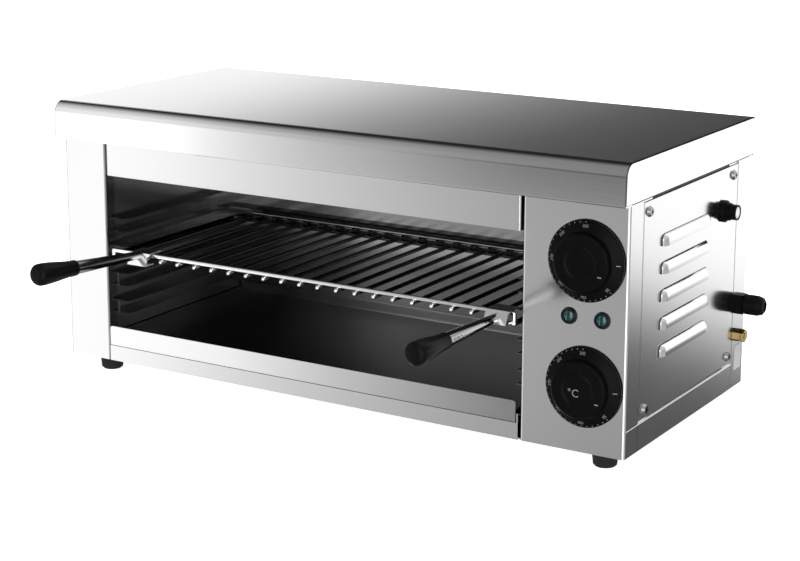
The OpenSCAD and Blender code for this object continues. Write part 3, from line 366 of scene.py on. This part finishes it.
# The side hems take the dark copy of the steel: painted shade under the skirt's foot.
for x, inward in ((lid_low.x, 1), (lid_high.x, -1)):
    flank = np.insert(side_outline, 0, x, 1)
    fold, fold_faces = swept(side_hem * (inward, 1) + (x, 0), 1, (front_y + hem_r, back_y))
    new_faces = [tuple(range(len(flank)))]
    new_faces += [tuple(i + len(flank) for i in face) for face in fold_faces]
    lid_faces += [tuple(i + len(lid_points) for i in face)[::inward] for face in new_faces]
    lid_points = np.concatenate([lid_points, flank, fold])
    lid_slots += [0] + [1] * len(fold_faces)
lid_sheet = mesh_piece("lid_sheet", lid_points, lid_faces, lid_steel, painted_shade_steel, slots=lid_slots)
thicken(lid_sheet, lid_t)
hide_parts("lid")
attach(lid_sheet, "cabinet")

# Service panel: one sheet with five pressed louvres, each open along its lower edge, held
# by four screws. It stops short of the lid above and of the base strip below, and steps in
# there, with painted shadow for the dark gaps.
# A brighter copy of the steel: painted highlight, for the service panel's front fold and for the base
# strip's bead.
painted_highlight_steel = ground_steel("painted_highlight_steel", 0.85, 0.2)
panel_x, low_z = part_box("control_panel")[1].x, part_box("base_pan")[0].z
service_t, recess, bevel, hole_r = 0.0008, -0.0016, -0.0004, 0.0078
sheet_front, sheet_back = cabinet.y + 0.0266, cabinet.y + 0.2319
louvre_front, louvre_back, louvre_top = cabinet.y + 0.064, cabinet.y + 0.166, low_z + 0.181
louvre_h, louvre_out, louvre_pitch, louvre_end, sag = 0.0105, 0.0043, 0.0243, 0.007, 0.03
louvre_feet = [louvre_top - louvre_h - i * louvre_pitch for i in range(4, -1, -1)]
hole_y, hole_z = [(low + high) / 2 for low, high in zip(*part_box("reset_button"))][1:]

# Columns of points: close at the sheet's edges and over the louvres' round ends.
round_end = np.linspace(0, 0.0072, 26)
across_y = np.unique(np.concatenate([
    (sheet_front, sheet_front + 0.0006, sheet_front + 0.0013, sheet_front + 0.0018),
    np.linspace(sheet_front + 0.002, louvre_front, 10),
    (louvre_front - 0.0003,), louvre_front + round_end,
    np.linspace(louvre_front + 0.0075, louvre_back - 0.0075, 30),
    louvre_back - round_end, (louvre_back + 0.0003,),
    np.linspace(louvre_back, sheet_back - 0.0012, 40),
    (sheet_back - 0.001, sheet_back - 0.0005, sheet_back),
]).round(6))
wide = len(across_y)

# Rows of points: each has a height, a depth, and the foot of the louvre that it crosses.
no_louvre = np.nan
foot_rows = [(0.0235, recess), (0.0263, recess), (0.0263, bevel), (0.0267, 0.0), (0.027, 0.0),
             (0.0274, 0.0)]
head_rows = [(0.2137, 0.0), (0.2141, 0.0), (0.2145, bevel), (0.2145, recess), (0.222, recess)]
rows = [(low_z + rise, level, no_louvre) for rise, level in foot_rows]
for foot in louvre_feet:
    rows += [(foot - 0.001, 0.0, no_louvre), (foot, 0.0, no_louvre)]
    rows += [(foot + step, 0.0, foot) for step in louvre_h * np.linspace(0, 1, 26) ** 0.8]
    rows += [(foot + louvre_h + 0.0006, 0.0, no_louvre)]
rows += [(z, 0.0, no_louvre) for z in np.arange(low_z + 0.184, low_z + 0.2135, 0.003)]
rows += [(low_z + rise, level, no_louvre) for rise, level in head_rows]
row_z, row_level, row_foot = np.array(rows).T[:, :, None]
hooded = ~np.isnan(row_foot)
drop = (row_foot + louvre_h - row_z) / louvre_h


def louvre_rise(y, drop):
    """Share of the hood's height, at a place along it and at a drop from its top edge: one
    less the square of the distance inwards from its rounded outline, which rises steeply
    at the top and gently at both ends."""
    u = np.minimum(y - louvre_front, louvre_back - y) / louvre_end
    inside = np.hypot(np.clip(1 - u, 0, None), np.clip(1 - drop, 0, None) ** 2.5)
    return np.where(u > 0, np.clip(1 - inside ** 2, 0, 1), 0)


shares = np.where(hooded, louvre_rise(across_y, drop), 0)
levels = np.where(hooded, shares * (1 - sag * drop ** 2) * louvre_out, row_level)
sheet_points = np.stack(np.broadcast_arrays(panel_x + levels, across_y, row_z), -1).reshape(-1, 3)


def cell_corners(grid):
    """The values at the four corners of each cell of a grid, in their order round it."""
    return np.stack([grid[:-1, :-1], grid[:-1, 1:], grid[1:, 1:], grid[1:, :-1]], -1)


# Faces: the hoods' feet stay open and the reset button has its hole. The recesses, the folds
# beside the edges and the creases round the hoods take painted shade, and the front fold a painted
# highlight.
plain, shade_slot, highlight_slot = 0, 1, 2
open_foot = hooded[1:] & (row_z[1:] == row_z[:-1])
beside = (across_y <= louvre_front) | (across_y >= louvre_back)
index = np.arange(len(rows) * wide).reshape(len(rows), wide)
index[1:] = np.where(open_foot & beside, index[:-1], index[1:])
from_hole = np.hypot((across_y[:-1] + across_y[1:]) / 2 - hole_y, (row_z[:-1] + row_z[1:]) / 2 - hole_z)
kept = ~open_foot & (from_hole >= hole_r)
column, corner_shares = np.arange(wide - 1), cell_corners(shares)
recessed = np.maximum(row_level[:-1], row_level[1:]) <= bevel
folded = (column == 1) | (column == wide - 2)
creased = (corner_shares.max(-1) > 0) & (corner_shares.mean(-1) < 0.2)
sheet_slots = np.where(recessed | folded | creased, shade_slot, np.where(column == 0, highlight_slot, plain))
used, sheet_faces = np.unique(cell_corners(index)[kept], return_inverse=True)
service_sheet = mesh_piece("service_sheet", sheet_points[used], sheet_faces.reshape(-1, 4).tolist(),
                           cabinet_steel, painted_shade_steel, painted_highlight_steel, slots=sheet_slots[kept].tolist())
thicken(service_sheet, service_t)
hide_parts("service_panel")
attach(service_sheet, "cabinet")

# Base strip's bead: the rolled upper edge of the strip under the service panel, part of the
# base pan's own sheet, in the brighter copy of the steel: a painted highlight.
bead_arc = arc((panel_x - 0.0013, low_z + 0.0235), 0.0014, -10, 100, 10)
bead_ends = (cabinet.y + 0.0028, cabinet.y + 0.2322)
bead = mesh_piece("base_strip_bead", *swept(bead_arc, 1, bead_ends), painted_highlight_steel)
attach(bead, "cabinet")

# Oven lining and runners: plain sheet that the heat has dulled and browned slightly; its
# dark tone is partly painted shade, for the inside of the oven. The runners are folded channels on both
# side walls, open towards the oven's middle.
dress(ground_steel("oven_steel", 0.16, 0.17, 0.08, (1.0, 0.985, 0.97)), "oven_left_wall", "oven_floor",
      "left_runners", "right_runners", "oven_right_wall")


# Back wall: bright sheet, with painted reflection and shade: under the rack it is dark on the
# left, and above the rack it is dimmer, with a painted dark line. The roof and the heat shield are the
# same sheet, scorched dark by the elements.
def back_wall_stain(x, y, z):
    """Painted reflection and shade: under the rack's level it is bright on the right, and over it
    half bright with one painted dark line."""
    lit = x.span(-0.22, -0.06, 0.1, 1.0)
    under = lit * z.span(0.08, 0.1, 1.0, 0.85) * z.span(0.105, 0.12, 1.0, 0.0)
    line = z.span(0.1235, 0.1245, 0.0, 0.8) * z.span(0.1295, 0.1305, 1.0, 0.0)
    return under + z.span(0.105, 0.12, 0.0, 0.67) * (1.0 - line)


dress(ground_steel("bright_steel", 0.9, 0.2, 0.04, painted_light=back_wall_stain), "oven_back_wall")
dress(ground_steel("scorched_steel", 0.1, 0.35, 0.08, (1.0, 0.97, 0.94)), "oven_roof", "heat_shield")


# Insulation: a board of ceramic fibre, pale and soft. It is cut a little smaller than the
# oven's roof and lies loose on it, under the lid.
def matt_stuff(name, low, high, scale, rough, bump, **constants):
    """A dull material whose tone and surface follow one noise."""
    material, surface, tree = shader(name, **constants)
    cloud = tree.node("TexNoise", values={
        "Vector": tree.node("TexCoord", output=3), "Scale": scale, "Detail": 4.0})
    join(blend(low, high, cloud), surface, "Base Color")
    join((cloud - 0.5) * 0.15 + rough, surface, "Roughness")
    relief = tree.node("Bump", values={"Strength": bump, "Distance": 0.0004, "Height": cloud})
    join(relief, surface, "Normal")
    return material


dress(matt_stuff("fibre", (0.78, 0.75, 0.68), (0.88, 0.86, 0.8), 260, 0.95, 0.6), "insulation_board")

# Heating elements: tubes of heat resisting steel, oxidised dark brown, carried by strip
# hooks and clamped in the right wall by brass bushings. Their ends are ceramic.
dress(matt_stuff("scaled_tube", (0.05, 0.04, 0.035), (0.11, 0.09, 0.075), 180, 0.55, 0.3, Metallic=0.6),
      "heating_element_front", "heating_element_rear")
dress(ground_steel("zinc_plate", 0.55, 0.28, 0.06, (1.0, 1.0, 1.03)),
      "element_hangers", "thermostat_screws", "case_screws", "foot_screws", "handle_tie_rods",
      "shaft_upper", "shaft_lower")
dress(ground_steel("screw_steel", 0.3, 0.12, 0.06), "service_panel_screws")
dress(ground_steel("brass", 0.4, 0.22, 0.05, (1.15, 0.85, 0.34)), "element_bushings", "bonding_stud",
      "bonding_nuts")
dress(matt_stuff("glazed_ceramic", (0.82, 0.81, 0.76), (0.88, 0.87, 0.83), 60, 0.25, 0.05),
      "element_terminals", "terminal_block")

# Thermostats and sensors: cream moulded switch bodies, screwed to the control panel behind
# the dials. Their copper capillary tubes end in bulbs inside the oven.
dress(matt_stuff("switch_body", (0.78, 0.76, 0.68), (0.84, 0.82, 0.75), 90, 0.55, 0.1),
      "thermostat_upper", "thermostat_lower")
dress(ground_steel("copper", 0.6, 0.3, 0.06, (1.2, 0.72, 0.5)), "sensor_upper", "sensor_lower")

# Dials: moulded black plastic, hollow behind, pushed on their shafts. The skirt carries
# printed white figures from 50 to 300 against the clock's three, with a mark every nine
# degrees, and the lower dial's face carries the degree sign.
dial_plastic = matt_stuff("dial_plastic", 0.0008, 0.0014, 900, 0.36, 0.08, Specular_IOR_Level=0.07)
dress(dial_plastic, "dial_upper", "dial_lower")
print_white = matt_stuff("print_white", 0.1, 0.16, 700, 0.6, 0.1)
skirt_r, skirt_edge, hub_edge, skirt_rise = 0.034, 0.0032, 0.0265, 0.0026
face_edge = 0.0245
face_radii, face_levels = (0, 0.0127, 0.0148, 0.0237), (0.0126, 0.0129, 0.0137, 0.014)
print_lift, print_t = 0.00018, 0.0001


def letters(text, size):
    """Outline text as flat faces: points in its own plane, centred, and lists of faces."""
    curve = bpy.data.curves.new("letters", "FONT")
    curve.body, curve.size, curve.align_x, curve.align_y = text, size, "CENTER", "CENTER"
    curve.resolution_u = 3
    holder = bpy.data.objects.new("letters", curve)
    bpy.context.collection.objects.link(holder)
    flat = bpy.data.meshes.new_from_object(holder.evaluated_get(bpy.context.evaluated_depsgraph_get()))
    points = np.empty(len(flat.vertices) * 3)
    flat.vertices.foreach_get("co", points)
    faces = [tuple(face.vertices) for face in flat.polygons]
    bpy.data.objects.remove(holder)
    bpy.data.meshes.remove(flat)
    return points.reshape(-1, 3)[:, :2], faces


def bar_mark(width, length):
    """A rectangle's four corners and its one face."""
    return np.array([(-1, -1), (1, -1), (1, 1), (-1, 1)]) * (width / 2, length / 2), [(0, 1, 2, 3)]


def dial_print(name, marks):
    """One mesh from flat marks, each at a radius and an angle, with its top outwards.
    The depth of a point follows the skirt's cone, or the dished face inside the hub."""
    lowest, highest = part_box(name)
    middle = (lowest + highest) / 2
    panel_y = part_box("control_panel")[0].y
    points, faces, count = [], [], 0
    for (flat, parts), radius, degrees, turned_by in marks:
        angle, spin = math.radians(degrees), math.radians(turned_by)
        outward = np.array((math.cos(angle), math.sin(angle)))
        clockwise = np.array((math.sin(angle), -math.cos(angle)))
        u = flat[:, 0] * math.cos(spin) - flat[:, 1] * math.sin(spin)
        v = flat[:, 0] * math.sin(spin) + flat[:, 1] * math.cos(spin)
        spot = u[:, None] * clockwise + (v[:, None] + radius) * outward
        r = np.hypot(spot[:, 0], spot[:, 1])
        cone = skirt_edge + (skirt_r - r) * skirt_rise / (skirt_r - hub_edge)
        out = np.where(r > face_edge, cone, np.interp(r, face_radii, face_levels)) + print_lift
        points.append(np.stack([middle.x + spot[:, 0], panel_y - out, middle.z + spot[:, 1]], -1))
        faces += [tuple(i + count for i in part) for part in parts]
        count += len(flat)
    piece = mesh_piece(name + "_print", np.concatenate(points), faces, print_white)
    piece.data.polygons.foreach_set("use_smooth", np.zeros(len(piece.data.polygons), bool))
    wall = piece.modifiers.new("film", "SOLIDIFY")
    wall.thickness, wall.offset = print_t, -1
    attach(piece, name)


tick, zero_bar = bar_mark(0.0006, 0.0011), bar_mark(0.0008, 0.0036)
# face_bar: a short pale bar on the hub's dished face near four o'clock, in the print's white.
face_bar = bar_mark(0.0009, 0.0036)
tick_r, figure_r, zero_r, face_bar_r, sign_r = 0.0334, 0.0301, 0.0306, 0.0203, 0.005
figure_size, sign_size = 0.0037, 0.0096
for name in ("dial_upper", "dial_lower"):
    marks = [(tick, tick_r, -angle, 0) for angle in range(45, 271, 9)]
    marks += [(letters(str(figure), figure_size), figure_r, -45 * figure / 50, 0)
              for figure in range(50, 301, 50)]
    marks += [(zero_bar, zero_r, 0, 0), (face_bar, face_bar_r, -27, 25)]
    if name == "dial_lower":
        marks += [(letters("°C", sign_size), sign_r, -142, 232)]
    dial_print(name, marks)

# Lamps: dark green translucent caps in black plastic bezels. Each bezel's barrel goes
# through the control panel and is held by a collar behind it.
dress(matt_stuff("lamp_lens", (0.0005, 0.008, 0.008), (0.002, 0.02, 0.019), 400, 0.07, 0.1,
                 Specular_IOR_Level=1.0, Specular_Tint=colour((0.6, 1.0, 1.0))),
      "left_lamp_lens", "right_lamp_lens")
dress(matt_stuff("bezel_plastic", (0.0008, 0.003, 0.003), (0.002, 0.006, 0.006), 500, 0.2, 0.1,
                 Specular_IOR_Level=0.25), "left_lamp_bezel", "right_lamp_bezel")

# Reset button, its collar and the cable gland: black nylon. The button's end carries a
# pale disc, pressed into its recess.
nylon = matt_stuff("black_nylon", 0.001, 0.002, 600, 0.4, 0.12, Specular_IOR_Level=0.06)
dress(nylon, "reset_thermostat", "reset_collar", "reset_button", "gland_body", "gland_cap_nut",
      "gland_locknut")


def turned_piece(name, start, along, profile, material, sides=64):
    """A surface of revolution: each (distance, radius) of the profile becomes a ring round
    the line from start in the direction along, and both ends close in a point."""
    along = Vector(along).normalized()
    across = along.orthogonal().normalized()
    third = along.cross(across)
    distance, radius = np.array(profile, float).T
    angle = np.linspace(0, 2 * np.pi, sides + 1)[:-1]
    circle = np.cos(angle)[:, None] * np.array(across) + np.sin(angle)[:, None] * np.array(third)
    axis = np.array(start) + distance[:, None] * np.array(along)
    rings = axis[1:-1, None] + radius[1:-1, None, None] * circle
    faces = ring_quads(len(rings), sides).tolist()
    near, far = np.arange(sides), (np.arange(sides) + 1) % sides
    first_end, last_ring = len(rings) * sides, (len(rings) - 1) * sides
    faces += np.stack([near * 0 + first_end, far, near], -1).tolist()
    faces += np.stack([near * 0 + first_end + 1, near + last_ring, far + last_ring], -1).tolist()
    points = np.concatenate([rings.reshape(-1, 3), axis[:1], axis[-1:]])
    return mesh_piece(name, points, faces, material)


disc_start = (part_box("reset_button")[1].x - 0.0009, hole_y, hole_z)
disc_profile = [(0, 0), (0, 0.0052), (0.0002, 0.0055), (0.0005, 0.0053), (0.0006, 0.003), (0.00065, 0)]
disc = turned_piece("reset_button_disc", disc_start, (1, 0, 0), disc_profile,
                    matt_stuff("disc_grey", 0.4, 0.5, 300, 0.4, 0.05))
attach(disc, "reset_button")
dress(matt_stuff("gland_rubber", 0.012, 0.02, 500, 0.7, 0.2), "gland_seal")

# Plate: a thin pale foil without any print. It is stuck low down on the right, on the
# strip that the back panel folds round the corner.
dress(matt_stuff("bare_plate", 0.26, 0.3, 60, 0.5, 0.03, Specular_IOR_Level=0.2), "rating_plate")

# Feet: black rubber cones that widen upwards. Each is held by a screw that comes from
# below and has its nut inside the base pan.
dress(matt_stuff("foot_rubber", 0.005, 0.01, 400, 0.62, 0.25, Specular_IOR_Level=0.2),
      "foot_front_left", "foot_front_right", "foot_rear_left", "foot_rear_right")

# Rack: bright drawn wire, welded at its crossings, with painted shade behind its front and a
# painted highlight on the rear wire's top, and formed clips of bright sheet that carry the handles'
# conical sleeves.
front_wire_y, rear_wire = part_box("rack_frame")[0].y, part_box("rack_frame")[1]


def bar_stain(x, y, z):
    """Painted shade: the bars are bright only at their front ends."""
    return y.span(front_wire_y + 0.003, front_wire_y + 0.006, 1.0, 0.04)


def wire_stain(x, y, z):
    """Painted shade and highlight: the front wire is bright, and so is the rear wire on top."""
    front = y.span(front_wire_y + 0.004, front_wire_y + 0.008, 1.0, 0.1)
    top = z.span(rear_wire.z - 0.006, rear_wire.z - 0.004, 0.05, 0.8)
    return front + y.span(rear_wire.y - 0.008, rear_wire.y - 0.005) * top


wire_tone, wire_gloss = 0.95, 0.16
dress(ground_steel("bar_steel", wire_tone, wire_gloss, 0.04, painted_light=bar_stain), "rack_bars")
dress(ground_steel("rack_wire", wire_tone, wire_gloss, 0.04, painted_light=wire_stain), "rack_frame")
dress(ground_steel("clip_steel", 0.9, 0.16, 0.04), "handle_brackets")
dress(ground_steel("sleeve_steel", 0.38, 0.14, 0.05), "handle_sleeves")

# Grips: black bakelite, screwed on the handles' rods. Each widens from the sleeve to a
# thick end with a rounded shoulder and a low dome.
grip_plastic = matt_stuff("grip_plastic", 0.001, 0.002, 500, 0.34, 0.12, Specular_IOR_Level=0.09)
sleeve_l, grip_l, thin, thick, round_l, chamfer = 0.0872, 0.0501, 0.0073, 0.01025, 0.007, 0.0006
run = np.linspace(0, 1, 18)
swell = thin + (thick - thin) * (3 * run ** 2 - 2 * run ** 3)
body = np.stack([chamfer + run * (grip_l - round_l - chamfer), swell], -1)
bow = np.linspace(0, np.pi / 2, 28)[1:]
end = np.stack([grip_l - round_l + round_l * np.sin(bow) ** 0.7, thick * np.cos(bow) ** 0.5], -1)
end[-1, 1] = 0
grip_profile = np.concatenate([[(0, 0), (0, thin - chamfer)], body, end])
for name, root, rising, splay in (
    ("left_grip", (-0.2072, -0.0058, 0.1119), 3.5, 2.5),
    ("right_grip", (0.181, -0.0058, 0.1076), 0.5, 0.0),
):
    rising, splay = math.radians(rising), math.radians(splay)
    along = Vector((-math.cos(rising) * math.sin(splay), -math.cos(rising) * math.cos(splay),
                    math.sin(rising)))
    start = cabinet + Vector(root) + along * sleeve_l
    piece = turned_piece(name, start, along, grip_profile, grip_plastic)
    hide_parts("handle_grips")
    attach(piece, "rack")

# Crumb tray: thin folded sheet that slides on the oven's floor. Its floor has painted shade,
# darker to the right, and its lip in front stays bright, with painted shade to the right.
tray_low, tray_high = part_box("crumb_tray")


def tray_stain(x, y, z):
    """Painted shade and highlight: the floor is dark, more so to the right, the lip darkens to the
    right, and the rear rim is light on the right.
    """
    lip = y.span(tray_low.y + 0.003, tray_low.y + 0.006, 1.0, 0.0) * x.span(-0.12, 0.18, 1.0, 0.38)
    rim = y.span(tray_high.y - 0.004, tray_high.y - 0.003) * x.span(-0.2, -0.02, 0.0, 0.8)
    return lip + x.span(-0.2, 0.0, 0.16, 0.05) + rim


dress(ground_steel("tray_steel", 0.8, 0.3, 0.06, painted_light=tray_stain), "crumb_tray")
